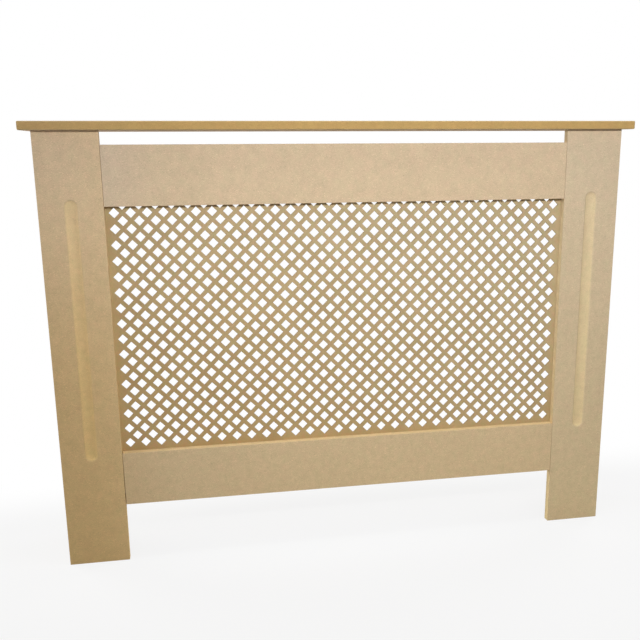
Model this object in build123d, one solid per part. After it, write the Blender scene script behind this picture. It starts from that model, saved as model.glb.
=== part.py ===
from build123d import *
import math
import os

# A radiator cover cabinet in raw fibreboard: two fluted legs, two rails and a pierced lattice
# make the front, side panels carry it to the wall, and a shelf lies on top.
# Millimetres. +Z is up and the front faces -Y. The origin is on the floor, under the middle
# of the shelf. A side is -1 for the left and +1 for the right, seen from the front.

# Overall sizes
WIDTH = 1115.0              # length of the shelf
DEPTH = 190.0               # shelf front edge to the wall
HEIGHT = 815.0              # floor to the shelf's top
SHELF_THICKNESS = 15.0
FRONT_THICKNESS = 15.0      # legs and rails
PANEL_THICKNESS = 15.0      # side panels
SIDE_OVERHANG = 19.0        # shelf past the legs, each side
FRONT_OVERHANG = 15.0       # shelf past the legs, in front
SHELF_ROUNDING = 2.0        # on all the shelf's edges
ARRIS = 0.5                 # eased edge of the front boards

# Front frame
LEG_WIDTH = 110.0
FOOT_HEIGHT = 114.0         # floor to the bottom rail
BOTTOM_RAIL_HEIGHT = 102.0
TOP_RAIL_HEIGHT = 105.0
OUTLET_GAP = 24.0           # open slot under the shelf
RAIL_END_GAP = 0.4          # seam between a rail's end and a leg

# Flutes, cut with a round-nosed bit that is wider than the groove
FLUTE_WIDTH = 24.0
FLUTE_DEPTH = 4.5
FLUTE_FROM_TOP = 116.0      # leg's top to the flute's upper end
FLUTE_FROM_FLOOR = 205.0

# Side panels
SKIRTING_DEPTH = 20.0       # notch for the room's skirting board
SKIRTING_HEIGHT = 120.0

# Lattice, square holes on their corners in staggered rows
LATTICE_PITCH = 28.5        # hole to hole along a row
HOLE_SIDE = 13.2
LATTICE_THICKNESS = 3.0
LATTICE_LAP = 20.0          # sheet behind the rails and legs
LATTICE_EDGE = 5.0          # least solid strip outside the holes
FIRST_ROW = 15.5            # bottom rail to the lowest row's centres

# Staples through the lattice's border
STAPLE_CROWN = 12.0
STAPLE_LEG = 6.0
STAPLE_WIRE = 1.2           # wire width
STAPLE_GAUGE = 0.7          # wire thickness
STAPLE_INSET = 4.5          # from the sheet's edge
STAPLE_SPACING = 120.0      # about this far apart
STAPLE_FIT = 0.02

# Wooden dowels
DOWEL_DIAMETER = 8.0
DOWEL_LENGTH = 30.0
DOWEL_FACE_DEPTH = 9.0      # in the face of a board, the rest is in an edge
DOWEL_FIT = 0.05            # radial
DOWEL_END_ROOM = 0.5        # at each end of a dowel
RAIL_DOWEL_SPACING = 56.0   # two in each rail end
LEG_DOWEL_INSET = 95.0      # from each end of a leg, with one more halfway

# Cam locks and their bolts
CAM_DIAMETER = 15.0         # of the bore
CAM_CLEARANCE = 0.08        # radial, running
CAM_HEIGHT = 12.3
CAM_END_ROOM = 0.2          # under the cam
CAM_SETBACK = 24.0          # board's edge to the cam's axis
CAM_POCKET_OFFSET = 0.5     # draws the bolt's head in as the cam turns
CAM_RECESS = 2.0            # depth of the driver cross
CAM_RECESS_LENGTH = 8.0
CAM_RECESS_WIDTH = 1.6
SHELF_CAM_INSET = 40.0      # from each end of a side panel's top edge
LEG_CAM_INSET = 150.0       # from each end of a leg
BOLT_THREAD_DIAMETER = 5.0
BOLT_THREAD_LENGTH = 9.5
BOLT_SHANK_DIAMETER = 6.0
BOLT_NECK_DIAMETER = 3.6
BOLT_HEAD_DIAMETER = 6.4
BOLT_HEAD_LENGTH = 2.6
BOLT_HEAD_SEAT = 4.2        # cam's axis to the head's bearing face
BOLT_FIT = 0.05             # radial, in the threaded hole
BOLT_BORE_DIAMETER = 7.0    # in the side panel's edge
BOLT_PLAY = 0.25            # head and neck inside the cam

# Wall brackets and their screws
BRACKET_LEG = 30.0
BRACKET_WIDTH = 20.0
BRACKET_GAUGE = 2.0
BRACKET_BEND = 1.0          # inside radius
BRACKET_DROP = 100.0        # shelf's underside to the bracket's middle
WALL_HOLE_DIAMETER = 5.0
SCREW_DIAMETER = 3.5
SCREW_LENGTH = 12.0
SCREW_HEAD_DIAMETER = 7.0
SCREW_HEAD_HEIGHT = 2.2
SCREW_FIT = 0.05

# Places that follow from the sizes
BACK = DEPTH / 2
FRONT_FACE = FRONT_OVERHANG - DEPTH / 2
FRONT_BACK = FRONT_FACE + FRONT_THICKNESS
FRONT_MIDDLE = FRONT_FACE + FRONT_THICKNESS / 2
LATTICE_MIDDLE = FRONT_BACK + LATTICE_THICKNESS / 2
LATTICE_BACK = FRONT_BACK + LATTICE_THICKNESS
BODY_HALF = WIDTH / 2 - SIDE_OVERHANG
OPENING_HALF = BODY_HALF - LEG_WIDTH
LEG_CENTRE = BODY_HALF - LEG_WIDTH / 2
PANEL_CENTRE = BODY_HALF - PANEL_THICKNESS / 2
PANEL_INNER = BODY_HALF - PANEL_THICKNESS
UNDERSIDE = HEIGHT - SHELF_THICKNESS
TOP_RAIL_TOP = UNDERSIDE - OUTLET_GAP
WINDOW_TOP = TOP_RAIL_TOP - TOP_RAIL_HEIGHT
WINDOW_BOTTOM = FOOT_HEIGHT + BOTTOM_RAIL_HEIGHT
SHEET_HALF_WIDTH = OPENING_HALF + LATTICE_LAP
SHEET_BOTTOM = WINDOW_BOTTOM - LATTICE_LAP
SHEET_TOP = WINDOW_TOP + LATTICE_LAP
HOLE_REACH = HOLE_SIDE / math.sqrt(2)
SHELF_CAM_PLACES = {"front": FRONT_BACK + SHELF_CAM_INSET, "rear": BACK - SHELF_CAM_INSET}
SHELF_DOWEL_PLACE = (FRONT_BACK + BACK) / 2
LEG_CAM_HEIGHTS = {"lower": LEG_CAM_INSET, "upper": UNDERSIDE - LEG_CAM_INSET}
LEG_DOWEL_HEIGHTS = (LEG_DOWEL_INSET, UNDERSIDE / 2, UNDERSIDE - LEG_DOWEL_INSET)
BRACKET_HEIGHT = UNDERSIDE - BRACKET_DROP
SIDES = {"left": -1, "right": 1}


def block(low, high):
    """A square-edged block between two opposite corners."""
    size = [top - bottom for bottom, top in zip(low, high)]
    return Pos(*low) * Box(*size, align=(Align.MIN, Align.MIN, Align.MIN))


def rod(radius, length, start, direction):
    """A cylinder from start, along direction."""
    return Plane(origin=start, z_dir=direction) * Cylinder(
        radius, length, align=(Align.CENTER, Align.CENTER, Align.MIN)
    )


# --- Dowels -------------------------------------------------------------------------------

def dowel_joints():
    """Each dowel as (name of its group, point on the joint, direction, depth that way)."""
    joints = []
    rails = (FOOT_HEIGHT + BOTTOM_RAIL_HEIGHT / 2, WINDOW_TOP + TOP_RAIL_HEIGHT / 2)
    for side in SIDES.values():
        for middle in rails:
            for up in (-1, 1):
                height = middle + up * RAIL_DOWEL_SPACING / 2
                place = (side * (OPENING_HALF - RAIL_END_GAP / 2), FRONT_MIDDLE, height)
                joints.append(("rail", place, (side, 0, 0), DOWEL_LENGTH / 2))
        for height in LEG_DOWEL_HEIGHTS:
            place = (side * PANEL_CENTRE, FRONT_BACK, height)
            joints.append(("leg", place, (0, -1, 0), DOWEL_FACE_DEPTH))
        for place in (
            (side * LEG_CENTRE, FRONT_MIDDLE, UNDERSIDE),
            (side * PANEL_CENTRE, SHELF_DOWEL_PLACE, UNDERSIDE),
        ):
            joints.append(("shelf", place, (0, 0, 1), DOWEL_FACE_DEPTH))
    return joints


def along(place, direction, distance):
    """The point at a distance from place along direction."""
    return tuple(p + d * distance for p, d in zip(place, direction))


def dowel(joint):
    """One dowel, across its joint."""
    _, place, direction, depth = joint
    start = along(place, direction, depth - DOWEL_LENGTH)
    return rod(DOWEL_DIAMETER / 2, DOWEL_LENGTH, start, direction)


def dowel_holes():
    """The blind holes of all the dowels, each spanning its joint."""
    holes = []
    for _, place, direction, depth in dowel_joints():
        start = along(place, direction, depth - DOWEL_LENGTH - DOWEL_END_ROOM)
        length = DOWEL_LENGTH + 2 * DOWEL_END_ROOM
        holes.append(rod(DOWEL_DIAMETER / 2 + DOWEL_FIT, length, start, direction))
    return holes


def dowel_group(name):
    """All the dowels of one kind of joint."""
    return [dowel(joint) for joint in dowel_joints() if joint[0] == name]


# --- Cam locks ----------------------------------------------------------------------------

def cam_joints():
    """Each cam lock's name, with its plane: the mouth of its bore, x towards its bolt."""
    joints = {}
    for side_name, side in SIDES.items():
        for name, y in SHELF_CAM_PLACES.items():
            mouth = (side * PANEL_INNER, y, UNDERSIDE - CAM_SETBACK)
            plane = Plane(origin=mouth, x_dir=(0, 0, 1), z_dir=(-side, 0, 0))
            joints[f"{side_name}_shelf_cam_{name}"] = plane
        for name, height in LEG_CAM_HEIGHTS.items():
            mouth = (side * PANEL_INNER, FRONT_BACK + CAM_SETBACK, height)
            plane = Plane(origin=mouth, x_dir=(0, -1, 0), z_dir=(-side, 0, 0))
            joints[f"{side_name}_leg_cam_{name}"] = plane
    return joints


def cam_lock():
    """A cam lock, shown locked: z out of its bore, x towards the bolt it holds.

    Its round pocket sits off centre, so that the wall closes on the bolt's head as it turns.
    The bolt's neck runs in a slot round half of the rim, to the hole where the head goes in.
    """
    radius = CAM_DIAMETER / 2 - CAM_CLEARANCE
    middle = -PANEL_THICKNESS / 2
    body = Pos(0, 0, -CAM_HEIGHT / 2) * Cylinder(radius, CAM_HEIGHT)
    head = BOLT_HEAD_DIAMETER / 2
    neck_room = BOLT_NECK_DIAMETER / 2 + BOLT_PLAY
    pocket_radius = math.hypot(BOLT_HEAD_SEAT + CAM_POCKET_OFFSET, head) + BOLT_FIT
    pocket = Pos(-CAM_POCKET_OFFSET, 0, middle) * Cylinder(pocket_radius, 2 * (head + BOLT_PLAY))
    slot = block((-CAM_DIAMETER, -CAM_DIAMETER, middle - neck_room),
                 (CAM_DIAMETER, neck_room, middle + neck_room))
    entry = rod(head + BOLT_PLAY, CAM_DIAMETER, (0, 0, middle), (-1, 0, 0))
    cross = [
        Pos(0, 0, -CAM_RECESS / 2) * Box(*arm, CAM_RECESS)
        for arm in ((CAM_RECESS_LENGTH, CAM_RECESS_WIDTH), (CAM_RECESS_WIDTH, CAM_RECESS_LENGTH))
    ]
    return body - [pocket, slot, entry] - cross


def cam_bolt():
    """A cam bolt along z: threaded end below the joint, neck and head above, in the cam."""
    neck_start = CAM_SETBACK - CAM_DIAMETER / 2
    head_start = CAM_SETBACK - BOLT_HEAD_SEAT
    steps = (
        (BOLT_THREAD_DIAMETER, -BOLT_THREAD_LENGTH, 0),
        (BOLT_SHANK_DIAMETER, 0, neck_start),
        (BOLT_NECK_DIAMETER, neck_start, head_start),
        (BOLT_HEAD_DIAMETER, head_start, head_start + BOLT_HEAD_LENGTH),
    )
    lengths = [
        rod(diameter / 2, end - start, (0, 0, start), (0, 0, 1))
        for diameter, start, end in steps
    ]
    return lengths[0] + lengths[1:]


def bolt_plane(cam):
    """The plane of the joint that a cam's bolt crosses, z towards the cam."""
    middle = cam.origin - cam.z_dir * (PANEL_THICKNESS / 2)
    return Plane(origin=middle + cam.x_dir * CAM_SETBACK, z_dir=-cam.x_dir)


def cam_bores():
    """The bores for the cams and their bolts, in side panels, shelf and legs."""
    bores = []
    for cam in cam_joints().values():
        joint = bolt_plane(cam)
        bores.append(rod(CAM_DIAMETER / 2, CAM_HEIGHT + CAM_END_ROOM, cam.origin, -cam.z_dir))
        bores.append(rod(BOLT_BORE_DIAMETER / 2, CAM_SETBACK, joint.origin, joint.z_dir))
        bores.append(
            rod(BOLT_THREAD_DIAMETER / 2 + BOLT_FIT, BOLT_THREAD_LENGTH + DOWEL_END_ROOM,
                joint.origin, -joint.z_dir)
        )
    return bores


# --- Lattice and its staples --------------------------------------------------------------

def hole_centres():
    """Centres of the lattice's holes, (x, height), in rows that alternate by half a pitch."""
    room = 2 * (OPENING_HALF - HOLE_REACH - LATTICE_EDGE)
    columns = math.floor(room / LATTICE_PITCH) + 1
    first = WINDOW_BOTTOM + FIRST_ROW
    last = SHEET_TOP - HOLE_REACH - LATTICE_EDGE
    rows = math.floor((last - first) / (LATTICE_PITCH / 2)) + 1
    centres = []
    for row in range(rows):
        count = columns - row % 2
        for column in range(count):
            x = (column - (count - 1) / 2) * LATTICE_PITCH
            centres.append((x, first + row * LATTICE_PITCH / 2))
    return centres


def staple_planes():
    """A plane for each staple: origin on the sheet's back, x along the crown, z out."""
    planes = []
    out = (0, 1, 0)
    edge_x = SHEET_HALF_WIDTH - STAPLE_INSET
    edge_low = SHEET_BOTTOM + STAPLE_INSET
    edge_high = SHEET_TOP - STAPLE_INSET
    across = math.ceil(2 * edge_x / STAPLE_SPACING)
    up = math.ceil((edge_high - edge_low) / STAPLE_SPACING)
    for step in range(across):
        x = edge_x * (2 * (step + 0.5) / across - 1)
        for height in (edge_low, edge_high):
            origin = (x, LATTICE_BACK, height)
            planes.append(Plane(origin=origin, x_dir=(1, 0, 0), z_dir=out))
    for step in range(up):
        height = edge_low + (edge_high - edge_low) * (step + 0.5) / up
        for side in SIDES.values():
            origin = (side * edge_x, LATTICE_BACK, height)
            planes.append(Plane(origin=origin, x_dir=(0, 0, 1), z_dir=out))
    return planes


def staple():
    """A wire staple: its crown lies on z = 0, its two legs go down."""
    crown = Pos(0, 0, STAPLE_GAUGE / 2) * Box(STAPLE_CROWN, STAPLE_WIRE, STAPLE_GAUGE)
    return crown + staple_legs(STAPLE_WIRE, STAPLE_GAUGE, STAPLE_LEG)


def staple_legs(width, gauge, length):
    """The two legs of a staple, or with room added, their holes."""
    offset = (STAPLE_CROWN - STAPLE_GAUGE) / 2
    return [Pos(end * offset, 0, -length / 2) * Box(gauge, width, length) for end in (-1, 1)]


def staple_holes():
    """The holes that the staples' legs make in lattice, rails and legs."""
    room = 2 * STAPLE_FIT
    legs = staple_legs(STAPLE_WIRE + room, STAPLE_GAUGE + room, STAPLE_LEG + STAPLE_FIT)
    return [plane * leg for plane in staple_planes() for leg in legs]


def lattice_layer(slope):
    """Half of the lattice's thickness, slotted along each slanting row of holes.

    The two layers slope opposite ways, and where their slots cross there is a square hole.
    """
    diagonals = {}
    for x, height in hole_centres():
        key = round(2 * (x - slope * (height - WINDOW_BOTTOM - FIRST_ROW)) / LATTICE_PITCH)
        diagonals.setdefault(key, []).append((x, height))
    slots = []
    for centres in diagonals.values():
        (x0, z0), (x1, z1) = centres[0], centres[-1]
        length = math.hypot(x1 - x0, z1 - z0) + HOLE_SIDE
        middle = Pos((x0 + x1) / 2, (z0 + z1) / 2)
        slots.append(middle * Rot(0, 0, 45 * slope) * Rectangle(length, HOLE_SIDE))
    sheet = Pos(0, (SHEET_BOTTOM + SHEET_TOP) / 2) * Rectangle(
        2 * SHEET_HALF_WIDTH, SHEET_TOP - SHEET_BOTTOM
    )
    back = LATTICE_MIDDLE if slope > 0 else LATTICE_BACK
    face = Plane(origin=(0, back, 0), x_dir=(1, 0, 0), z_dir=(0, -1, 0)) * (sheet - slots)
    return extrude(face, LATTICE_THICKNESS / 2) - staple_holes()


# --- Boards -------------------------------------------------------------------------------

def eased_board(low, high):
    """A front board with the edges of its front face eased."""
    board = block(low, high)
    return chamfer(board.faces().sort_by(Axis.Y)[0].edges(), ARRIS)


def flute(side):
    """The groove in a leg: a round-nosed bit run down its middle."""
    radius = (FLUTE_WIDTH**2 / 4 + FLUTE_DEPTH**2) / (2 * FLUTE_DEPTH)
    centre_y = FRONT_FACE + FLUTE_DEPTH - radius
    low = FLUTE_FROM_FLOOR + FLUTE_WIDTH / 2
    high = UNDERSIDE - FLUTE_FROM_TOP - FLUTE_WIDTH / 2
    x = side * LEG_CENTRE
    run = rod(radius, high - low, (x, centre_y, low), (0, 0, 1))
    return [run] + [Pos(x, centre_y, end) * Sphere(radius) for end in (low, high)]


def leg(side):
    """A fluted leg, floor to shelf."""
    inner, outer = sorted((side * OPENING_HALF, side * BODY_HALF))
    board = eased_board((inner, FRONT_FACE, 0), (outer, FRONT_BACK, UNDERSIDE))
    return board - flute(side) - dowel_holes() - cam_bores() - staple_holes()


def rail(bottom, height):
    """A rail between the legs."""
    half = OPENING_HALF - RAIL_END_GAP
    board = eased_board((-half, FRONT_FACE, bottom), (half, FRONT_BACK, bottom + height))
    return board - dowel_holes() - staple_holes()


def side_panel(side):
    """A side panel, behind a leg, notched over the skirting board."""
    inner, outer = sorted((side * PANEL_INNER, side * BODY_HALF))
    board = block((inner, FRONT_BACK, 0), (outer, BACK, UNDERSIDE))
    notch = block(
        (inner - PANEL_THICKNESS, BACK - SKIRTING_DEPTH, -PANEL_THICKNESS),
        (outer + PANEL_THICKNESS, BACK + PANEL_THICKNESS, SKIRTING_HEIGHT),
    )
    screws = [screw_hole(plane) for plane in screw_planes(side)]
    return board - notch - dowel_holes() - cam_bores() - screws


def shelf():
    """The shelf, with all its edges rounded."""
    board = block((-WIDTH / 2, -DEPTH / 2, UNDERSIDE), (WIDTH / 2, BACK, HEIGHT))
    return fillet(board.edges(), SHELF_ROUNDING) - dowel_holes() - cam_bores()


# --- Wall brackets ------------------------------------------------------------------------

def wall_bracket(side):
    """A steel angle inside a side panel's rear edge, with one hole for a wall screw."""
    corner_x = side * PANEL_INNER
    outline = Polyline(
        (corner_x, BACK - BRACKET_LEG),
        (corner_x, BACK),
        (corner_x - side * BRACKET_LEG, BACK),
        (corner_x - side * BRACKET_LEG, BACK - BRACKET_GAUGE),
        (corner_x - side * BRACKET_GAUGE, BACK - BRACKET_GAUGE),
        (corner_x - side * BRACKET_GAUGE, BACK - BRACKET_LEG),
        close=True,
    )
    inside = (corner_x - side * BRACKET_GAUGE, BACK - BRACKET_GAUGE)
    profile = bent(make_face(outline), inside, BRACKET_BEND)
    profile = bent(profile, (corner_x, BACK), BRACKET_BEND + BRACKET_GAUGE)
    bottom = BRACKET_HEIGHT - BRACKET_WIDTH / 2
    angle = Pos(0, 0, bottom) * extrude(profile, BRACKET_WIDTH, dir=(0, 0, 1))
    wall_hole = rod(WALL_HOLE_DIAMETER / 2, 2 * BRACKET_LEG, wall_hole_centre(side), (0, -1, 0))
    return angle - wall_hole - [screw_hole(plane) for plane in screw_planes(side)]


def bent(profile, corner, radius):
    """A bracket's profile with the corner nearest to a point rounded."""
    return fillet(profile.vertices().sort_by_distance((*corner, 0))[0], radius)


def wall_hole_centre(side):
    """Where a wall screw's axis meets the wall."""
    return (side * (PANEL_INNER - BRACKET_LEG / 2), BACK, BRACKET_HEIGHT)


def screw_planes(side):
    """The planes of a bracket's two screws: origin under the head, z out of the panel."""
    face = side * (PANEL_INNER - BRACKET_GAUGE)
    middle = BACK - BRACKET_GAUGE - (BRACKET_LEG - BRACKET_GAUGE) / 2
    return [
        Plane(origin=(face, middle, BRACKET_HEIGHT + up * BRACKET_WIDTH / 4), z_dir=(-side, 0, 0))
        for up in (-1, 1)
    ]


def wood_screw():
    """A round-headed wood screw: its head stands on z = 0, its shank goes down."""
    head = rod(SCREW_HEAD_DIAMETER / 2, SCREW_HEAD_HEIGHT, (0, 0, 0), (0, 0, 1))
    head = chamfer(head.edges().group_by(Axis.Z)[-1], SCREW_HEAD_HEIGHT / 2)
    return head + rod(SCREW_DIAMETER / 2, SCREW_LENGTH, (0, 0, 0), (0, 0, -1))


def screw_hole(plane):
    """The hole for a wood screw's shank."""
    return plane * rod(SCREW_DIAMETER / 2 + SCREW_FIT, SCREW_LENGTH + SCREW_FIT,
                       (0, 0, 0), (0, 0, -1))


# --- All the pieces -----------------------------------------------------------------------

def pieces():
    """Every node's name, with its solid or its group of equal solids."""
    made = {
        "top_shelf": shelf(),
        "top_rail": rail(WINDOW_TOP, TOP_RAIL_HEIGHT),
        "bottom_rail": rail(FOOT_HEIGHT, BOTTOM_RAIL_HEIGHT),
        "lattice_front_layer": lattice_layer(1),
        "lattice_back_layer": lattice_layer(-1),
        "lattice_staples": [plane * staple() for plane in staple_planes()],
        "rail_dowels": dowel_group("rail"),
        "leg_dowels": dowel_group("leg"),
        "shelf_dowels": dowel_group("shelf"),
        "cam_bolts": [bolt_plane(cam) * cam_bolt() for cam in cam_joints().values()],
        "bracket_screws": [
            plane * wood_screw() for side in SIDES.values() for plane in screw_planes(side)
        ],
    }
    for name, side in SIDES.items():
        made[f"{name}_leg"] = leg(side)
        made[f"{name}_side_panel"] = side_panel(side)
        made[f"{name}_wall_bracket"] = wall_bracket(side)
    for name, plane in cam_joints().items():
        made[name] = plane * cam_lock()
    return made


os.makedirs("parts", exist_ok=True)
for name, piece in pieces().items():
    solids = piece if isinstance(piece, list) else [piece]
    export_step(Compound(children=solids), f"parts/{name}.step")
    print(f"{name}: {len(solids)} solid(s)")
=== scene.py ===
import bpy
import bmesh
import math
from itertools import count
from typing import NamedTuple
from mathutils import Matrix, Vector


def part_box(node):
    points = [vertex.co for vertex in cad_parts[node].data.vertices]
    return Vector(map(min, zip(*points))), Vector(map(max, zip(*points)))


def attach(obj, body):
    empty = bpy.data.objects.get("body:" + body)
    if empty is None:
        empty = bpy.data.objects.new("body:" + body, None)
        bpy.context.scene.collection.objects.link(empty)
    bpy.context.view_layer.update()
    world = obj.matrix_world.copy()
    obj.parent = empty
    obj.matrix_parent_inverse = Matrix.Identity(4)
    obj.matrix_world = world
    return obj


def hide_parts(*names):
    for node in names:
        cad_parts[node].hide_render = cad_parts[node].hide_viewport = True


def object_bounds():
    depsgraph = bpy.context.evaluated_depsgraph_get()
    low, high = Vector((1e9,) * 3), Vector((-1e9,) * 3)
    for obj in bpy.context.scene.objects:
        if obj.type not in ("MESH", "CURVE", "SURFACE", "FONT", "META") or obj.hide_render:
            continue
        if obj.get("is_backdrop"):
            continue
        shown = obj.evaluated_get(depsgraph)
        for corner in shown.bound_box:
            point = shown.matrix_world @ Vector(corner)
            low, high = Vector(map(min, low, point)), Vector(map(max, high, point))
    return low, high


# A radiator cover cabinet in raw fibreboard, in the order in which it is put together: the
# fluted legs, the rails between them, the pierced lattice and its staples, the side panels
# with their dowels and cam locks, the shelf and the wall brackets.
# Metres; -Y is the front, +Z is up.

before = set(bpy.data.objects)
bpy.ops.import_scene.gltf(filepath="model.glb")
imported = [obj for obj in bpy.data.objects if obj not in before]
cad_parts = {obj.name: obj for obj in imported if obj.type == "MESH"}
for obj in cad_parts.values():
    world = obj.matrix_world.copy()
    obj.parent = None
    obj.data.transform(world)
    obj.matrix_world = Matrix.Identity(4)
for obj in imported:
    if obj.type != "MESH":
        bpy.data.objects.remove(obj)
cad_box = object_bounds()

# --- Legs ---------------------------------------------------------------------------------
# Two full-height boards of 15 mm fibreboard, the front corners of the cabinet. A round-nosed
# bit was lowered into each and run down its middle, which left a flute with round ends.

ARRIS = 0.0005                      # sanded edge of every front board
ARRIS_STEPS = 3
SHARP_ANGLE = math.radians(30)      # an edge that turns by more than this is eased
SAME_POINT = 1e-6                   # points that are nearer than this are merged
FLUTE_WIDTH = 0.024
FLUTE_DEPTH = 0.0045
FLUTE_FROM_TOP = 0.116
FLUTE_FROM_FLOOR = 0.205
FLUTE_RINGS = 12
FLUTE_ARC_STEPS = 24

# Colour of the sheet that each leg was sawn from, and what it is multiplied by, which includes
# painted light and shade
LEG_SHEETS = {"left": (0.626, 0.460, 0.272), "right": (0.580, 0.460, 0.320)}
UNTINTED = (1, 1, 1, 1)
# Painted warm light: the boards turn yellower towards the floor
PAINTED_WARM_LIGHT_AT_FLOOR = (1.03, 1.0, 0.83, 1)
# Painted light at the top of the left end, paler and bluer, and painted shade at its foot, darker
# and yellower
PAINTED_LIGHT_LEFT_TOP = (1.04, 1.07, 1.20, 1)
PAINTED_SHADE_LEFT_FOOT = (0.93, 0.895, 0.83, 1)
CORE = (1.16, 1.17, 1.08, 1)
MOULDED_SKIN = (0.80, 0.74, 0.52, 1)
MOULDED_CORE = (0.66, 0.55, 0.33, 1)
PINKER = (1.035, 0.985, 1.0, 1)
GREENER = (0.965, 1.015, 0.97, 1)

PAINTED_LIGHT_HEIGHT = 0.8                   # height over which the painted light turns the boards yellower and darker downwards
LEFT_END = (-0.52, -0.30)           # x where the painted light and shade of the cabinet's left end begin and end
BOARD_SHIFT = (3.1, 1.7, 2.3)       # how far each board's pattern is moved from the last one's
FIBRE_TURNS = (0.3, 1.4, 2.5)       # ways in which the fibres lie
FIBRE_STRETCH = (1.0, 1.0, 3.6)
FIBREBOARD_RELIEF = 0.00010


class Signal:
    """A shader socket that can stand in a Python expression, where it adds Math nodes."""

    def __init__(self, socket):
        self.socket = socket

    def node(self, kind, settings, inputs, output=0):
        """A new node in this tree, its settings made first, then its sockets' values or links."""
        tree = self.socket.id_data
        made = tree.nodes.new(kind)
        for name, value in settings.items():
            setattr(made, name, value)
        for name, value in inputs.items():
            if isinstance(value, Signal):
                tree.links.new(value.socket, made.inputs[name])
            else:
                made.inputs[name].default_value = value
        return Signal(made.outputs[output])

    def maths(self, operation, *values):
        return self.node("ShaderNodeMath", {"operation": operation}, dict(enumerate(values)))

    def __add__(self, other):
        return self.maths("ADD", self, other)

    def __sub__(self, other):
        return self.maths("SUBTRACT", self, other)

    def __rsub__(self, other):
        return self.maths("SUBTRACT", other, self)

    def __mul__(self, other):
        return self.maths("MULTIPLY", self, other)

    def __truediv__(self, other):
        return self.maths("DIVIDE", self, other)

    def __abs__(self):
        return self.maths("ABSOLUTE", self)

    __radd__ = __add__
    __rmul__ = __mul__

    def above(self, low, high):
        """0 below low, 1 above high, smooth between."""
        inputs = {"Value": self, "From Min": low, "From Max": high}
        return self.node("ShaderNodeMapRange", {"interpolation_type": "SMOOTHSTEP"}, inputs)

    def mix(self, first, second):
        """The first colour where this is 0, the second where it is 1."""
        colours = {0: self, 6: first, 7: second}
        return self.node("ShaderNodeMix", {"data_type": "RGBA"}, colours, output=2)

    def times(self, colour):
        """This colour multiplied by another."""
        settings = {"data_type": "RGBA", "blend_type": "MULTIPLY"}
        return self.node("ShaderNodeMix", settings, {0: 1.0, 6: self, 7: colour}, output=2)

    def vector(self, *values):
        """A vector of three values or signals."""
        return self.node("ShaderNodeCombineXYZ", {}, dict(enumerate(values)))

    def grey(self):
        """The grey of this brightness."""
        return self.vector(self, self, self)

    def along(self, axis):
        """How far along an axis this place is."""
        return self.node("ShaderNodeSeparateXYZ", {}, {0: self}, output=axis)

    def moved(self, offset=(0, 0, 0), turn=(0, 0, 0), stretch=(1, 1, 1)):
        """This place, stretched, turned and moved."""
        inputs = {"Vector": self, "Location": offset, "Rotation": turn, "Scale": stretch}
        return self.node("ShaderNodeMapping", {}, inputs)

    def noise(self, scale, detail=2.0, roughness=0.5):
        """Noise round 0 at this place, from about -0.5 to 0.5."""
        inputs = {"Vector": self, "Scale": scale, "Detail": detail, "Roughness": roughness}
        return self.node("ShaderNodeTexNoise", {}, inputs) - 0.5

    def flecks(self, scale, share, size):
        """1 in small flecks at this place: a share of cells holds one, of a size in cells."""
        cell = {"Vector": self, "Scale": scale}
        near = self.node("ShaderNodeTexVoronoi", {}, cell)
        colour = self.node("ShaderNodeTexVoronoi", {}, cell, output=1)
        draw = self.node("ShaderNodeSeparateColor", {}, {0: colour})
        return (1 - near.above(size * 0.4, size)) * draw.above(1 - share, 1 - share * 0.6)


def new_material(name):
    """A material with its shader, and the place on the piece that its patterns read."""
    material = bpy.data.materials.new(name)
    material.use_nodes = True
    nodes = material.node_tree.nodes
    place = nodes.new("ShaderNodeTexCoord").outputs["Object"]
    return material, nodes["Principled BSDF"], Signal(place)


def feed(shader, **signals):
    """Links signals to a shader's sockets, named in lower case."""
    tree = shader.id_data
    for name, signal in signals.items():
        tree.links.new(signal.socket, shader.inputs[name.replace("_", " ").title()])


def attribute(place, name, output="Fac"):
    """What a mesh carries under a name."""
    return place.node("ShaderNodeAttribute", {"attribute_name": name}, {}, output)


def bump(place, height, distance):
    """A normal that stands off by a distance where the height is 1."""
    return place.node("ShaderNodeBump", {}, {"Distance": distance, "Height": height})


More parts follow.
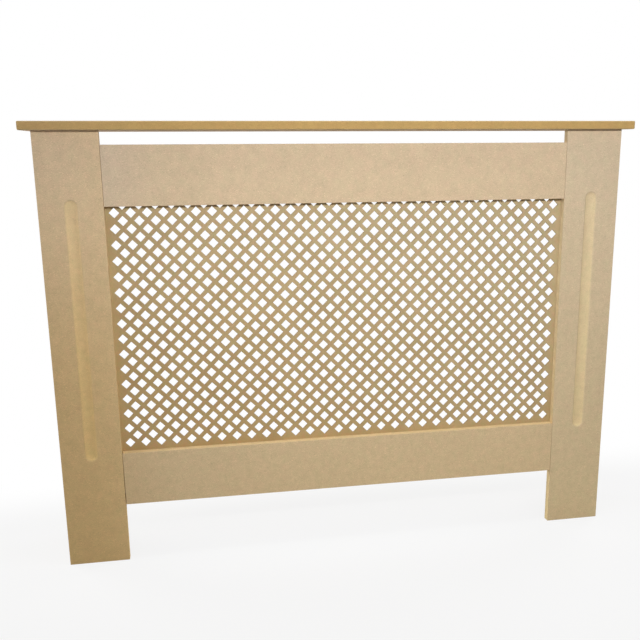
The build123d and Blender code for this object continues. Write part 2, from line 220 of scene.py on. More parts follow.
def raw_fibreboard():
    """Sanded, unpainted fibreboard. Its pressed faces are pale and flecked with fibres, and it is
    yellower towards the middle of its thickness, where a saw or a bit opened it. Painted warm
    light makes the cabinet yellower towards the floor, and at its left end painted light makes the
    top paler and bluer and painted shade makes the foot darker."""
    material, shader, place = new_material("raw_fibreboard")
    painted_light_floorward = 1 - place.along("Z") / PAINTED_LIGHT_HEIGHT
    painted_light_leftward = 1 - place.along("X").above(*LEFT_END)
    number = attribute(place, "board")
    shift = place.vector(*[number * step for step in BOARD_SHIFT])
    place = place.node("ShaderNodeVectorMath", {"operation": "ADD"}, {0: place, 1: shift})
    depth = 1 - abs(attribute(place, "across"))
    core = depth.above(low=0.04, high=0.30)
    opened = depth.above(low=0.005, high=0.02)

    cloud = place.noise(scale=8.0, detail=3.0)
    mottle = place.noise(scale=75.0, detail=4.0, roughness=0.6)
    blush = place.moved(offset=(5, 9, 2)).noise(scale=60.0)
    grain = place.noise(scale=900.0, detail=3.0, roughness=0.7)
    lying = [place.moved(turn=(turn, turn, turn), stretch=FIBRE_STRETCH) for turn in FIBRE_TURNS]
    dark = sum(way.flecks(scale=320.0, share=0.20, size=0.42) for way in lying)
    shifted = [way.moved(offset=(3, 1, 4)) for way in lying]
    pale = sum(way.flecks(scale=290.0, share=0.16, size=0.40) for way in shifted)

    colour = attribute(place, "sheet", "Color")
    # Painted warm light: yellower towards the floor
    colour = colour.times(painted_light_floorward.mix(UNTINTED, PAINTED_WARM_LIGHT_AT_FLOOR))
    # Painted light and shade at the left end: paler at the top, darker at the foot
    painted_left_end = painted_light_floorward.above(low=0.0, high=0.6).mix(PAINTED_LIGHT_LEFT_TOP, PAINTED_SHADE_LEFT_FOOT)
    colour = colour.times(painted_light_leftward.mix(UNTINTED, painted_left_end))
    colour = colour.times(core.mix(UNTINTED, CORE))
    edge = core.mix(MOULDED_SKIN, MOULDED_CORE)
    colour = colour.times(attribute(place, "moulded").mix(UNTINTED, edge))
    colour = colour.times((0.5 + blush * 1.3).mix(PINKER, GREENER))

    # Fibres show on the pressed faces most, and an opened face is rougher
    fibres = (pale * 0.31 - dark * 0.25) * (1 - opened * 0.6)
    level = 1 + cloud * 0.08 + mottle * 0.28 + grain * 0.62 + fibres
    relief = grain * (1 + opened) + mottle * 0.5 - dark * 0.5 + pale * 0.3
    feed(shader, base_color=colour.times(level.grey()),
         roughness=0.80 + grain * 0.12 + opened * 0.08,
         normal=bump(place, relief, FIBREBOARD_RELIEF))
    shader.inputs["Specular IOR Level"].default_value = 0.25
    return material


fibreboard = raw_fibreboard()


def new_piece(name, mesh):
    """An object at the origin, with its place in its mesh."""
    piece = bpy.data.objects.new(name, mesh)
    bpy.context.scene.collection.objects.link(piece)
    return piece


def settled(piece):
    """The piece with its modifiers turned into mesh."""
    bpy.context.view_layer.update()
    graph = bpy.context.evaluated_depsgraph_get()
    mesh = bpy.data.meshes.new_from_object(piece.evaluated_get(graph))
    piece.modifiers.clear()
    piece.data = mesh
    return piece


def closed(bm, name):
    """A new piece from faces that make a closed shape, all turned outwards."""
    bmesh.ops.recalc_face_normals(bm, faces=bm.faces)
    mesh = bpy.data.meshes.new(name)
    bm.to_mesh(mesh)
    bm.free()
    return new_piece(name, mesh)


def ease_edges(piece, width, steps):
    """Rounds a piece's sharp edges."""
    bevel = piece.modifiers.new("edges", "BEVEL")
    bevel.width = width
    bevel.segments = steps
    bevel.limit_method = "ANGLE"
    bevel.angle_limit = SHARP_ANGLE
    return settled(piece)


board_numbers = count(1)


def hand_over_board(piece, node, sheet, axis):
    """Marks a finished board's thickness along an axis, gives it a number, its sheet's colour
    and its material, and lets it stand for its node."""
    mesh = piece.data
    low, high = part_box(node)
    middle, half = (low[axis] + high[axis]) / 2, (high[axis] - low[axis]) / 2
    across = mesh.attributes.new("across", "FLOAT", "POINT")
    across.data.foreach_set("value", [(point.co[axis] - middle) / half for point in mesh.vertices])
    board = mesh.attributes.new("board", "FLOAT", "POINT")
    board.data.foreach_set("value", [float(next(board_numbers))] * len(mesh.vertices))
    colour = mesh.attributes.new("sheet", "FLOAT_COLOR", "POINT")
    colour.data.foreach_set("color", [*sheet, 1.0] * len(mesh.vertices))
    mesh.materials.clear()
    mesh.materials.append(fibreboard)
    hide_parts(node)
    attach(piece, "cabinet")


def flute_ring(bm, centre_x, radius, low, high, front):
    """One outline of the flute: the points at a distance from its middle line, at their
    depth. Low and high are the middles of its round ends."""
    bit = (FLUTE_WIDTH**2 / 4 + FLUTE_DEPTH**2) / (2 * FLUTE_DEPTH)
    depth = math.sqrt(bit**2 - radius**2) - (bit - FLUTE_DEPTH)
    ring = []
    for end, start in ((high, 0.0), (low, math.pi)):
        for step in range(FLUTE_ARC_STEPS + 1):
            angle = start + math.pi * step / FLUTE_ARC_STEPS
            x = centre_x + radius * math.cos(angle)
            z = end + radius * math.sin(angle)
            ring.append(bm.verts.new((x, front + depth, z)))
    return ring


def leg(side):
    """A leg's board, with its flute as rings that go down to the bottom of the groove."""
    low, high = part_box(f"{side}_leg")
    centre_x = (low.x + high.x) / 2
    half = FLUTE_WIDTH / 2
    bottom = FLUTE_FROM_FLOOR + half
    top = high.z - FLUTE_FROM_TOP - half

    bm = bmesh.new()
    rings = [
        flute_ring(bm, centre_x, half * (1 - k / FLUTE_RINGS), bottom, top, low.y)
        for k in range(FLUTE_RINGS + 1)
    ]
    for outer, inner in zip(rings, rings[1:]):
        for k in range(len(outer)):
            after = (k + 1) % len(outer)
            bm.faces.new((outer[k], outer[after], inner[after], inner[k])).smooth = True
    bmesh.ops.remove_doubles(bm, verts=rings[-1], dist=SAME_POINT)

    # The face round the flute: one half to each side, and a triangle above and below
    rim = rings[0]
    corners = [(low.x, low.z), (high.x, low.z), (high.x, high.z), (low.x, high.z)]
    front = [bm.verts.new((x, low.y, z)) for x, z in corners]
    back = [bm.verts.new((x, high.y, z)) for x, z in corners]
    round_top = FLUTE_ARC_STEPS // 2
    round_bottom = round_top + FLUTE_ARC_STEPS + 1
    right = rim[round_bottom:] + rim[:round_top + 1]
    left = rim[round_top:round_bottom + 1]
    bm.faces.new([front[1], front[2], *reversed(right)])
    bm.faces.new([front[3], front[0], *reversed(left)])
    bm.faces.new([front[0], front[1], rim[round_bottom]])
    bm.faces.new([front[2], front[3], rim[round_top]])
    bm.faces.new(back)
    for k in range(4):
        after = (k + 1) % 4
        bm.faces.new((front[k], front[after], back[after], back[k]))
    return ease_edges(closed(bm, f"{side}_leg_board"), ARRIS, ARRIS_STEPS)


for side, sheet in LEG_SHEETS.items():
    hand_over_board(leg(side), f"{side}_leg", sheet, 1)

# --- Rails --------------------------------------------------------------------------------
# Two boards sawn from one sheet, dowelled between the legs. The top one leaves a slot for
# warm air under the shelf, the bottom one leaves the floor free for cold air.

RAIL_SHEET = (0.598, 0.460, 0.312)
OPEN_JOINT = 0.0008                 # the bottom rail's left end is out of square by this much


def sawn_board(name, outline, axis, low, high):
    """A square-edged board: its outline, extruded along an axis from low to high."""
    bm = bmesh.new()
    ends = []
    for level in (low, high):
        points = [(*point[:axis], level, *point[axis:]) for point in outline]
        ends.append([bm.verts.new(point) for point in points])
    for end in ends:
        bm.faces.new(end)
    for k in range(len(outline)):
        after = (k + 1) % len(outline)
        bm.faces.new((ends[0][k], ends[0][after], ends[1][after], ends[1][k]))
    return closed(bm, name)


for place in ("top", "bottom"):
    low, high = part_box(f"{place}_rail")
    lower_left = low.x + (OPEN_JOINT if place == "bottom" else 0.0)
    corners = [(lower_left, low.z), (high.x, low.z), (high.x, high.z), (low.x, high.z)]
    rail = sawn_board(f"{place}_rail_board", corners, 1, low.y, high.y)
    ease_edges(rail, ARRIS, ARRIS_STEPS)
    hand_over_board(rail, f"{place}_rail", RAIL_SHEET, 1)

# --- Lattice ------------------------------------------------------------------------------
# One sheet of 3 mm hardboard, pierced by a press with square holes that stand on their
# corners, in rows that alternate by half a pitch. It lies behind the rails and legs.

LATTICE_PITCH = 0.0285
HOLE_SIDE = 0.0129                  # at the hole's neck, between its pressed edges
HOLE_COLUMNS = 30
HOLE_ROW_PAIRS = 16
FIRST_ROW = 0.0155                  # above the bottom rail
PRESSED_EDGE = 0.0002
PRESSED_STEPS = 1
SURFACE_SKIN = 0.00002              # deeper than this below a face, the press cut the sheet

# The faces' two tones, what they are multiplied by (painted light, then a blush), and the two
# tones of the cut
HARDBOARD_TONES = ((0.492, 0.378, 0.204, 1), (0.362, 0.262, 0.130, 1))
HARDBOARD_PAINTED_LIGHT = ((1.085, 1.145, 1.30, 1), (1.04, 0.965, 0.86, 1))
HARDBOARD_BLUSH = ((1.10, 0.94, 0.98, 1), (0.92, 1.04, 0.90, 1))
CUT_TONES = ((0.25, 0.165, 0.07, 1), (0.34, 0.235, 0.10, 1))
PAINTED_LIGHT_RIGHTWARD = 0.83              # how fast the painted light turns the faces paler and bluer to the right, per metre
PAINTED_LIGHT_UPWARD = 1.56
PAINTED_LIGHT_MIDDLE = 0.44                 # height where they are halfway
HARDBOARD_RELIEF = 0.00008


def pierced_hardboard():
    """Hardboard, smooth and brown, darker and rougher where the press cut it, with painted light
    that turns its faces paler towards the upper right.
    """
    material, shader, place = new_material("pierced_hardboard")
    cloud = place.noise(scale=20.0, detail=3.0)
    mottle = place.noise(scale=130.0, detail=3.0, roughness=0.6)
    grain = place.noise(scale=1100.0, detail=3.0, roughness=0.7)
    blush = place.moved(offset=(7, 3, 5)).noise(scale=110.0)
    lying = place.moved(turn=(0.4, 0.9, 0.6), stretch=(1.0, 1.0, 4.0))
    fibre = lying.flecks(scale=260.0, share=0.3, size=0.45)

    # Painted light: the faces turn paler and bluer towards the upper right, and yellower and
    # darker towards the lower left
    upward = place.along("Z") - PAINTED_LIGHT_MIDDLE
    drift = 0.5 - place.along("X") * PAINTED_LIGHT_RIGHTWARD - upward * PAINTED_LIGHT_UPWARD
    face = (0.5 + mottle * 1.2 + cloud).mix(*HARDBOARD_TONES)
    face = face.times(drift.mix(*HARDBOARD_PAINTED_LIGHT))
    face = face.times((0.5 + blush * 1.4).mix(*HARDBOARD_BLUSH))
    edge = (0.5 + grain).mix(*CUT_TONES)
    colour = attribute(place, "cut").mix(face, edge)
    level = 1 + mottle * 0.32 + grain * 0.40 - fibre * 0.10
    feed(shader, base_color=colour.times(level.grey()), roughness=0.62 + grain * 0.15,
         normal=bump(place, grain + mottle - fibre * 0.4, HARDBOARD_RELIEF))
    shader.inputs["Specular IOR Level"].default_value = 0.3
    return material


class GeometryTree:
    """A Geometry Nodes tree with named inputs, built one node at a time."""

    KINDS = {int: "NodeSocketInt", float: "NodeSocketFloat", bpy.types.Object: "NodeSocketObject"}

    def __init__(self, name, **inputs):
        self.tree = bpy.data.node_groups.new(name, "GeometryNodeTree")
        interface = self.tree.interface
        interface.new_socket("Geometry", in_out="INPUT", socket_type="NodeSocketGeometry")
        interface.new_socket("Geometry", in_out="OUTPUT", socket_type="NodeSocketGeometry")
        self.values = inputs
        self.identifiers = {}
        for title, value in inputs.items():
            kind = self.KINDS[type(value)]
            socket = interface.new_socket(title, in_out="INPUT", socket_type=kind)
            self.identifiers[title] = socket.identifier
        self.start = self.tree.nodes.new("NodeGroupInput")

    def input(self, title):
        return Signal(self.start.outputs[title])

    def node(self, kind, settings=None, inputs=None, output=0):
        return Signal(self.start.outputs[0]).node(kind, settings or {}, inputs or {}, output)

    def vector(self, *values):
        return Signal(self.start.outputs[0]).vector(*values)

    def join(self, *parts):
        joined = self.tree.nodes.new("GeometryNodeJoinGeometry")
        for part in parts:
            self.tree.links.new(part.socket, joined.inputs[0])
        return Signal(joined.outputs[0])

    def moved(self, geometry, **changes):
        """The geometry after a translation and rotation."""
        inputs = {name.title(): value for name, value in changes.items()}
        return self.node("GeometryNodeTransform", {}, {0: geometry, **inputs})

    def rectangle(self, width, height):
        """A rectangle whose sides are the inputs of those names."""
        sides = {"Width": self.input(width), "Height": self.input(height)}
        return self.node("GeometryNodeCurvePrimitiveQuadrilateral", {"mode": "RECTANGLE"}, sides)

    def grid(self, width, across, height, up):
        """Points in a grid of a size, so many across and so many up."""
        return self.node("GeometryNodeMeshGrid", {}, {
            "Size X": width, "Vertices X": across, "Size Y": height, "Vertices Y": up})

    def piece(self, name, geometry, material):
        """Ends the tree in Realize Instances and Set Material, and makes a plain mesh with it."""
        real = self.node("GeometryNodeRealizeInstances", {}, {0: geometry})
        done = self.node("GeometryNodeSetMaterial", {}, {0: real, "Material": material})
        end = self.tree.nodes.new("NodeGroupOutput")
        self.tree.links.new(done.socket, end.inputs[0])
        piece = new_piece(name, bpy.data.meshes.new(name))
        modifier = piece.modifiers.new(name, "NODES")
        modifier.node_group = self.tree
        for title, value in self.values.items():
            modifier[self.identifiers[title]] = value
        settled(piece)
        piece.data.materials.clear()
        piece.data.materials.append(material)
        return piece


def pierced_sheet(low, high, first_row):
    """The sheet between two corners: an outline with holes, filled and given its thickness."""
    tree = GeometryTree(
        "pierced_sheet", width=high.x - low.x, height=high.z - low.z, thickness=high.y - low.y,
        pitch=LATTICE_PITCH, hole_side=HOLE_SIDE, columns=HOLE_COLUMNS, row_pairs=HOLE_ROW_PAIRS,
        first_row=first_row - low.z,
    )
    hole = tree.moved(tree.rectangle("hole_side", "hole_side"), rotation=(0, 0, math.radians(45)))
    pitch = tree.input("pitch")
    row_sets = []
    for fewer in (0, 1):
        across = tree.input("columns") - fewer
        up = tree.input("row_pairs")
        span = pitch * (up - 1)
        grid = tree.grid(pitch * (across - 1), across, span, up)
        middle = tree.input("first_row") + span / 2 + pitch * fewer / 2 - tree.input("height") / 2
        grid = tree.moved(grid, translation=tree.vector(0.0, middle, 0.0))
        placed = {"Points": grid, "Instance": hole}
        row_sets.append(tree.node("GeometryNodeInstanceOnPoints", {}, placed))
    outline = tree.rectangle("width", "height")
    curves = tree.node("GeometryNodeRealizeInstances", {}, {0: tree.join(outline, *row_sets)})
    face = tree.node("GeometryNodeFillCurve", {}, {0: curves})
    walls = tree.node("GeometryNodeExtrudeMesh", {}, {
        "Mesh": face, "Offset": (0, 0, 1), "Offset Scale": tree.input("thickness"),
        "Individual": False})
    behind = tree.node("GeometryNodeFlipFaces", {}, {0: face})
    shell = {0: tree.join(walls, behind), "Distance": SAME_POINT}
    sheet = tree.node("GeometryNodeMergeByDistance", {}, shell)
    sheet = tree.moved(sheet, rotation=(math.radians(90), 0, 0),
                       translation=(0, high.y, (low.z + high.z) / 2))
    return tree.piece("pierced_lattice", sheet, pierced_hardboard())


def mark_cuts(piece, low, high):
    """Marks the faces that the press cut, off the sheet's two broad faces."""
    cut = piece.data.attributes.new("cut", "FLOAT", "FACE")
    for polygon in piece.data.polygons:
        depth = min(polygon.center.y - low.y, high.y - polygon.center.y)
        cut.data[polygon.index].value = float(depth > SURFACE_SKIN)


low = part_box("lattice_front_layer")[0]
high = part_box("lattice_back_layer")[1]
lattice = pierced_sheet(low, high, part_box("bottom_rail")[1].z + FIRST_ROW)
ease_edges(lattice, PRESSED_EDGE, PRESSED_STEPS)
mark_cuts(lattice, low, high)
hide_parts("lattice_front_layer", "lattice_back_layer")
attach(lattice, "cabinet")

# --- Staples ------------------------------------------------------------------------------
# Galvanised wire staples, shot through the lattice's border into the rails and legs from
# behind. None sits quite square.

STAPLE_CROWN = 0.012
STAPLE_LEG = 0.006
STAPLE_WIRE = 0.0012
STAPLE_GAUGE = 0.0007
STAPLE_BEND = 0.0006                # radius of the wire's middle
STAPLE_BEND_STEPS = 4
STAPLE_INSET = 0.0045               # from the sheet's edge
STAPLES_ACROSS = 8
STAPLES_UP = 5
STAPLE_SKEW = math.radians(5)
WIRE_TONES = ((0.50, 0.50, 0.50, 1), (0.66, 0.66, 0.64, 1))
FASTENER_SEED = 4

# The flattened wire's outline, in halves of its gauge and of its width
WIRE_OUTLINE = ((-1, -0.7), (-1, 0.7), (-0.5, 1), (0.5, 1),
                (1, 0.7), (1, -0.7), (0.5, -1), (-0.5, -1))


def bare_metal(name, tones, roughness, scale, relief):
    """A metal finish whose tone and gloss drift over the surface."""
    material, shader, place = new_material(name)
    cloud = place.noise(scale * 0.12, detail=3.0)
    grain = place.noise(scale, detail=4.0, roughness=0.7)
    feed(shader, base_color=(0.5 + cloud * 1.5 + grain * 0.5).mix(*tones),
         roughness=roughness + grain * 0.25 + cloud * 0.12, normal=bump(place, grain, relief))
    shader.inputs["Metallic"].default_value = 1.0
    return material


def wire_staple(face):
    """One staple round the origin in x and z, its crown just off the sheet's rear face."""
    reach = (STAPLE_CROWN - STAPLE_GAUGE) / 2
    top = face + STAPLE_GAUGE / 2
    line = [(-reach, face - STAPLE_LEG, -1, 0)]
    for end in (-1, 1):
        for step in range(STAPLE_BEND_STEPS + 1):
            turn = math.pi / 2 * step / STAPLE_BEND_STEPS
            angle = math.pi - turn if end < 0 else math.pi / 2 - turn
            x, y = math.cos(angle), math.sin(angle)
            middle = end * (reach - STAPLE_BEND)
            line.append((middle + STAPLE_BEND * x, top - STAPLE_BEND + STAPLE_BEND * y, x, y))
    line.append((reach, face - STAPLE_LEG, 1, 0))
    half_gauge, half_wire = STAPLE_GAUGE / 2, STAPLE_WIRE / 2
    bm = bmesh.new()
    rings = [
        [bm.verts.new((x + nx * half_gauge * a, y + ny * half_gauge * a, half_wire * b))
         for a, b in WIRE_OUTLINE]
        for x, y, nx, ny in line
    ]
    for near, far in zip(rings, rings[1:]):
        for k in range(len(WIRE_OUTLINE)):
            after = (k + 1) % len(WIRE_OUTLINE)
            bm.faces.new((near[k], near[after], far[after], far[k]))
    for end in (rings[0], rings[-1]):
        bm.faces.new(end)
    return closed(bm, "wire_staple")


class Row(NamedTuple):
    """Where fasteners of one kind go: a grid round a middle, and the turn that they share."""

    middle: tuple
    width: float
    across: int
    height: float
    up: int
    turn: float


def fastened(name, part, rows, skew, skew_axis, turn_axis, material):
    """Copies of one fastener at the rows' points, turned as their row says about one axis and
    skewed at random about another or the same."""
    inputs = {"part": part, "skew": skew, "seed": FASTENER_SEED}
    for title, row in rows.items():
        sizes = {"width": row.width, "across": row.across, "height": row.height, "up": row.up}
        inputs.update({f"{title}_{size}": value for size, value in sizes.items()})
        inputs[f"{title}_turn"] = row.turn
    tree = GeometryTree(name, **inputs)
    shape = tree.node("GeometryNodeObjectInfo", {}, {0: tree.input("part")}, output="Geometry")
    sets = []
    for number, (title, row) in enumerate(rows.items()):
        sizes = [tree.input(f"{title}_{size}") for size in ("width", "across", "height", "up")]
        grid = tree.moved(tree.grid(*sizes), rotation=(math.radians(90), 0, 0),
                          translation=row.middle)
        limits = {2: 0 - tree.input("skew"), 3: tree.input("skew")}
        draw = tree.node("FunctionNodeRandomValue", {"data_type": "FLOAT"},
                         {**limits, "Seed": tree.input("seed") + number}, output=1)
        turns = [0.0, 0.0, 0.0]
        turns[turn_axis] = tree.input(f"{title}_turn")
        turns[skew_axis] = draw + turns[skew_axis]
        sets.append(tree.node("GeometryNodeInstanceOnPoints", {}, {
            "Points": grid, "Instance": shape, "Rotation": tree.vector(*turns)}))
    piece = tree.piece(name, tree.join(*sets), material)
    bpy.data.objects.remove(part)
    return piece


middle = (0.0, 0.0, (low.z + high.z) / 2)
width = 2 * (high.x - STAPLE_INSET)
height = 2 * ((high.z - low.z) / 2 - STAPLE_INSET)
staple_rows = {
    "rails": Row(middle, width * (1 - 1 / STAPLES_ACROSS), STAPLES_ACROSS, height, 2, turn=0.0),
    "legs": Row(middle, width, 2, height * (1 - 1 / STAPLES_UP), STAPLES_UP,
                turn=math.radians(90)),
}
wire = bare_metal("bright_wire", WIRE_TONES, roughness=0.36, scale=2500.0, relief=0.00002)
staples = fastened("wire_staples", wire_staple(high.y), staple_rows, STAPLE_SKEW,
                   skew_axis=1, turn_axis=1, material=wire)
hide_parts("lattice_staples")
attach(staples, "cabinet")

# --- Side panels --------------------------------------------------------------------------
# Two boards from the wall to the legs, notched at the lower rear corner so that they clear
# the room's skirting board. Their inner faces are bored for the cam locks.

PANEL_ARRIS = 0.0003
PANEL_ARRIS_STEPS = 2
PANEL_SHEETS = {"left": (0.605, 0.460, 0.298), "right": (0.592, 0.456, 0.308)}
SKIRTING_DEPTH = 0.020
SKIRTING_HEIGHT = 0.120
CAM_BORE = 0.0075                   # radius
CAM_BORE_DEPTH = 0.0125
BORE_SIDES = 48
CAMS = ("shelf_cam_front", "shelf_cam_rear", "leg_cam_lower", "leg_cam_upper")


def carved(piece, cutter):
    """The piece without what the cutter takes away."""
    cut = piece.modifiers.new("cut", "BOOLEAN")
    cut.operation = "DIFFERENCE"
    cut.object = cutter
    cut.solver = "EXACT"
    settled(piece)
    bpy.data.objects.remove(cutter)
    return piece


def bored(panel, side, inner):
    """The panel with a flat-bottomed bore for each cam lock, from its inner face."""
    bm = bmesh.new()
    for cam in CAMS:
        low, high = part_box(f"{side}_{cam}")
        centre = (low + high) / 2
        turn = Matrix.Rotation(math.radians(90), 4, "Y")
        place = Matrix.Translation((inner, centre.y, centre.z)) @ turn
        bmesh.ops.create_cone(bm, cap_ends=True, segments=BORE_SIDES, radius1=CAM_BORE,
                              radius2=CAM_BORE, depth=2 * CAM_BORE_DEPTH, matrix=place)
    return carved(panel, closed(bm, f"{side}_bores"))


for side, sheet in PANEL_SHEETS.items():
    low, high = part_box(f"{side}_side_panel")
    outline = [(low.y, low.z), (high.y - SKIRTING_DEPTH, low.z),
               (high.y - SKIRTING_DEPTH, SKIRTING_HEIGHT), (high.y, SKIRTING_HEIGHT),
               (high.y, high.z), (low.y, high.z)]
    panel = sawn_board(f"{side}_panel_board", outline, 0, low.x, high.x)
    ease_edges(panel, PANEL_ARRIS, PANEL_ARRIS_STEPS)
    bored(panel, side, high.x if side == "left" else low.x)
    hand_over_board(panel, f"{side}_side_panel", sheet, 0)

# --- Dowels and cam locks -----------------------------------------------------------------
# Turned beech dowels line the boards up. Die-cast zinc cams sit in the side panels' bores,
# and half a turn of each draws in the head of a plated steel bolt. All are the CAD's shapes.

DOWEL_AXES = {"rail_dowels": 0, "leg_dowels": 1, "shelf_dowels": 2}
BEECH_TONES = ((0.74, 0.56, 0.37, 1), (0.63, 0.45, 0.27, 1))
BEECH_RELIEF = 0.00005
STREAK_STRETCH = 0.08               # the smaller, the longer the marks along the dowel
RAY_STRETCH = 0.25
STEEL_TONES = ((0.38, 0.39, 0.41, 1), (0.52, 0.51, 0.48, 1))
ZINC_TONES = ((0.50, 0.50, 0.51, 1), (0.66, 0.66, 0.66, 1))


def turned_beech(name, axis):
    """Beech along an axis: long pale streaks with short brown ray flecks."""
    material, shader, place = new_material(name)
    stretch = [1.0, 1.0, 1.0]
    stretch[axis] = STREAK_STRETCH
    streak = place.moved(stretch=stretch).noise(scale=900.0, detail=3.0)
    stretch[axis] = RAY_STRETCH
    rays = place.moved(stretch=stretch).flecks(scale=1400.0, share=0.35, size=0.4)
    colour = (0.5 + streak * 1.4).mix(*BEECH_TONES)
    feed(shader, base_color=colour.times((1 - rays * 0.25).grey()), roughness=0.55 + streak * 0.2,
         normal=bump(place, streak - rays * 0.5, BEECH_RELIEF))
    return material


def dress(node, material):
    """Gives a CAD piece that keeps its shape its finish."""
    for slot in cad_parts[node].material_slots:
        slot.material = material


for node, axis in DOWEL_AXES.items():
    dress(node, turned_beech(f"beech_{node}", axis))
plated = bare_metal("plated_steel", STEEL_TONES, roughness=0.38, scale=1200.0, relief=0.00002)
dress("cam_bolts", plated)
zinc = bare_metal("die_cast_zinc", ZINC_TONES, roughness=0.42, scale=1500.0, relief=0.00006)
for side in PANEL_SHEETS:
    for cam in CAMS:
        dress(f"{side}_{cam}", zinc)

# --- Shelf --------------------------------------------------------------------------------
# One board that overhangs the front and both sides. Its edges went over a moulding cutter,
# which rounded them and left them darker than sawn ones.

SHELF_ROUNDING = 0.002
SHELF_ROUNDING_STEPS = 6
SHELF_SHEET = (0.600, 0.460, 0.308)
LEVEL_FACE = 0.99                   # a face whose normal is nearer to upright wasn't moulded

low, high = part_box("top_shelf")
corners = [(low.x, low.y), (high.x, low.y), (high.x, high.y), (low.x, high.y)]
shelf = sawn_board("shelf_board", corners, 2, low.z, high.z)
ease_edges(shelf, SHELF_ROUNDING, SHELF_ROUNDING_STEPS)
moulded = shelf.data.attributes.new("moulded", "FLOAT", "FACE")
for polygon in shelf.data.polygons:
    moulded.data[polygon.index].value = float(abs(polygon.normal.z) < LEVEL_FACE)
hand_over_board(shelf, "top_shelf", SHELF_SHEET, 2)

# --- Wall brackets ------------------------------------------------------------------------
# Two bent angles of plated steel inside the side panels' rear edges, each held by two
# round-headed wood screws. A third hole in each takes a screw into the wall.

SCREW_RADIUS = 0.00175
SCREW_LENGTH = 0.012
SCREW_POINT = 0.003
HEAD_RADIUS = 0.0035
HEAD_HEIGHT = 0.0022
HEAD_STEPS = 8
SCREW_SIDES = 32
CROSS_LENGTH = 0.0040
CROSS_WIDTH = 0.0008
CROSS_DEPTH = 0.0014
BRACKET_GAUGE = 0.002
SCREW_SPACING = 0.010


def wood_screw():
    """One screw along x from the bracket's face: domed head with a cross, shank and point."""
    profile = [(-SCREW_LENGTH, 0.0), (-SCREW_LENGTH + SCREW_POINT, SCREW_RADIUS),
               (0.0, SCREW_RADIUS), (0.0, HEAD_RADIUS)]
    for step in range(1, HEAD_STEPS + 1):
        angle = math.pi / 2 * step / HEAD_STEPS
        profile.append((HEAD_HEIGHT * math.sin(angle), HEAD_RADIUS * math.cos(angle)))
    turns = [2 * math.pi * k / SCREW_SIDES for k in range(SCREW_SIDES)]
    bm = bmesh.new()
    rings = [
        [bm.verts.new((x, radius * math.cos(turn), radius * math.sin(turn))) for turn in turns]
        for x, radius in profile
    ]
    for near, far in zip(rings, rings[1:]):
        for k in range(SCREW_SIDES):
            after = (k + 1) % SCREW_SIDES
            bm.faces.new((near[k], near[after], far[after], far[k]))
    bmesh.ops.remove_doubles(bm, verts=bm.verts, dist=SAME_POINT)
    screw = closed(bm, "wood_screw")
    for across in ((CROSS_LENGTH, CROSS_WIDTH), (CROSS_WIDTH, CROSS_LENGTH)):
        bm = bmesh.new()
        size = Matrix.Diagonal((2 * CROSS_DEPTH, *across, 1.0))
        bmesh.ops.create_cube(bm, size=1.0, matrix=Matrix.Translation((HEAD_HEIGHT, 0, 0)) @ size)
        carved(screw, closed(bm, "driver_cross"))
    return screw


low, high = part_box("left_wall_bracket")
screw_x = abs(low.x) - BRACKET_GAUGE
screw_y = (low.y + high.y - BRACKET_GAUGE) / 2
screw_z = (low.z + high.z) / 2
screw_rows = {
    side: Row((sign * screw_x, screw_y, screw_z), 0.0, 1, SCREW_SPACING, 2, turn)
    for side, sign, turn in (("left", -1, 0.0), ("right", 1, math.pi))
}
screws = fastened("bracket_wood_screws", wood_screw(), screw_rows, math.pi,
                  skew_axis=0, turn_axis=2, material=plated)
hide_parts("bracket_screws")
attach(screws, "cabinet")
for side in PANEL_SHEETS:
    dress(f"{side}_wall_bracket", plated)

# --- Room, lamps and camera ---------------------------------------------------------------
# A pale floor that runs into a white background, a flash and a thin strip lamp over the
# camera, soft lamps above, beside and behind, and the camera where the photographer stood.

FLOOR_HALF = 30.0
FLOOR_GREY = (0.50, 0.50, 0.50, 1)
FLOOR_WHITE = 0.84                  # share of plain white in the floor near the cabinet
WHITE_BEHIND = (0.10, 0.35)         # y over which the floor turns plain white
WHITE_AWAY = (0.9, 1.8)             # and how far from the cabinet's middle it does
WHITE = (1, 1, 1, 1)
WORLD_LEVEL = 0.12
FLASH_SPREAD = math.radians(80)
FLASH_RADIUS = 0.06

# Each one's place, what it is turned to, its width and height, how far it spreads, its power
SOFT_LAMPS = {
    "ceiling_lamp": ((0.1, -0.35, 2.6), (0.1, -0.1, 0.4), (0.4, 0.4), 180, 16.3),
    "strip_lamp": ((0.3, -1.65, 1.2), (0.35, -0.08, 0.8), (1.4, 0.06), 90, 3.1),
    "left_fill": ((-2.4, -0.22, 1.2), (0.1, -0.08, 0.5), (0.4, 0.8), 180, 17.5),
    "right_fill": ((2.4, -0.35, 1.0), (-0.1, -0.08, 0.5), (0.8, 0.8), 180, 6.0),
    "rear_left_fill": ((-1.7, 1.1, 1.0), (-0.2, 0.1, 0.4), (1.0, 1.0), 180, 26.0),
    "rear_right_fill": ((1.7, 1.1, 1.0), (0.2, 0.1, 0.4), (1.0, 1.0), 180, 26.0),
}
CAMERA_SPOT = (-0.29353, -1.64531, 0.77222)
CAMERA_TURN = (75.982, 0.2967, -11.1892)  # degrees


def camera_rays(signal):
    """1 for what the camera sees, straight on or in a reflection or through glass."""
    path = "ShaderNodeLightPath"
    seen = signal.node(path, {}, {}, output="Is Camera Ray")
    glossy = signal.node(path, {}, {}, output="Is Glossy Ray")
    through = signal.node(path, {}, {}, output="Is Transmission Ray")
    return signal.maths("MINIMUM", seen + glossy + through, 1.0)


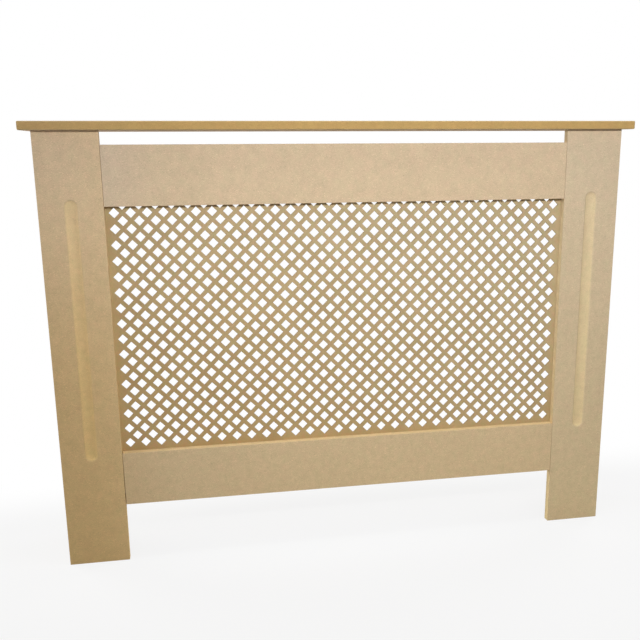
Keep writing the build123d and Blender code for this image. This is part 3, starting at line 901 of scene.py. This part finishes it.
def pale_floor():
    """A matt grey floor that takes the shadow, mixed with plain white for the camera."""
    material, shader, place = new_material("pale_floor")
    tree = material.node_tree
    shader.inputs["Base Color"].default_value = FLOOR_GREY
    shader.inputs["Roughness"].default_value = 0.9
    length = {"operation": "LENGTH"}
    away = place.node("ShaderNodeVectorMath", length, {0: place}, output="Value")
    behind = place.along("Y").above(*WHITE_BEHIND)
    far = behind.maths("MAXIMUM", behind, away.above(*WHITE_AWAY))
    glow = place.node("ShaderNodeEmission", {}, {"Color": WHITE})
    share = camera_rays(place) * (FLOOR_WHITE + (1 - FLOOR_WHITE) * far)
    grey = Signal(shader.outputs[0])
    floor = place.node("ShaderNodeMixShader", {}, {0: share, 1: grey, 2: glow})
    tree.links.new(floor.socket, tree.nodes["Material Output"].inputs["Surface"])
    return material


mesh = bpy.data.meshes.new("floor")
span = FLOOR_HALF
mesh.from_pydata([(-span, -span, 0), (span, -span, 0), (span, span, 0), (-span, span, 0)],
                 [], [(0, 1, 2, 3)])
mesh.materials.append(pale_floor())
new_piece("floor", mesh)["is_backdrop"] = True

world = bpy.data.worlds.new("room")
world.use_nodes = True
bpy.context.scene.world = world
backdrop = world.node_tree.nodes["Background"]
seen = camera_rays(Signal(backdrop.outputs[0]))
level = WORLD_LEVEL + (1 - WORLD_LEVEL) * seen
world.node_tree.links.new(level.socket, backdrop.inputs["Strength"])
backdrop.inputs["Color"].default_value = WHITE


def hang(name, lamp, spot, aim, power):
    """Puts a lamp at a spot, turned to what it lights. Bare metal doesn't mirror the ones
    behind the cabinet, which would leave it white."""
    lamp.energy = power
    stand = bpy.data.objects.new(name, lamp)
    stand.location = spot
    stand.rotation_euler = (Vector(aim) - Vector(spot)).to_track_quat("-Z", "Y").to_euler()
    stand.visible_glossy = stand.location.y < 0
    bpy.context.scene.collection.objects.link(stand)


flash = bpy.data.lights.new("flash", "SPOT")
flash.spot_size = FLASH_SPREAD
flash.spot_blend = 1.0
flash.shadow_soft_size = FLASH_RADIUS
hang("flash", flash, spot=(-0.29, -1.65, 1.16), aim=(0.25, -0.08, 0.60), power=58.5)

for name, (spot, aim, (wide, high), spread, power) in SOFT_LAMPS.items():
    lamp = bpy.data.lights.new(name, "AREA")
    lamp.shape = "RECTANGLE"
    lamp.size = wide
    lamp.size_y = high
    lamp.spread = math.radians(spread)
    hang(name, lamp, spot, aim, power)

camera = bpy.data.cameras.new("camera")
camera.sensor_width = 36.0
camera.lens = 48.176
camera.shift_x = -0.0534
camera.shift_y = 0.0616
stand = bpy.data.objects.new("camera", camera)
stand.location = CAMERA_SPOT
stand.rotation_euler = [math.radians(angle) for angle in CAMERA_TURN]
bpy.context.scene.collection.objects.link(stand)
bpy.context.scene.camera = stand
bpy.context.scene.view_settings.view_transform = "Standard"

boxes = {"cad": cad_box, "visual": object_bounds()}
{name: [list(corner) for corner in box] for name, box in boxes.items()}
